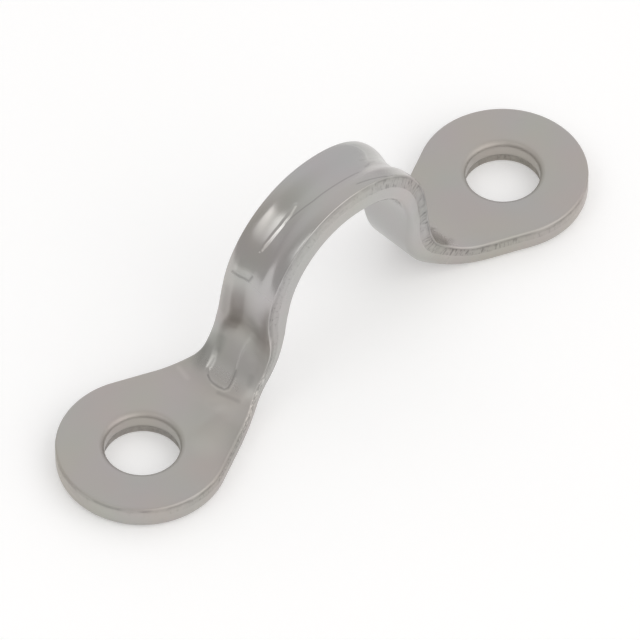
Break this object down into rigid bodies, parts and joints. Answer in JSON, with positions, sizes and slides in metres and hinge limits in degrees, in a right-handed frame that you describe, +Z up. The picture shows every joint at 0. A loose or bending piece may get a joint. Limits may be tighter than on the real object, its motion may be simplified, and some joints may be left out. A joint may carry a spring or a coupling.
{
  "type": "fender eye",
  "caption": "Bent strap of stainless steel sheet with a round screw lug at each end, bowed up in the middle to hold a fender line.",
  "frame": {"origin": "midway between the two screw holes, on the flat underside of the lugs", "axes": "+X along the line through both screw holes, +Y across the strap, along the way a line passes through, +Z up, away from the deck"},
  "size_m": [0.0722, 0.0182, 0.0228],
  "materials": {
    "stainless_steel": "tumbled stainless steel, satin with soft reflections; the sheared edges are part burnished and part grainy"
  },
  "bodies": {
    "root": {"fender_eye": "stainless_steel"}
  },
  "joints": []
}
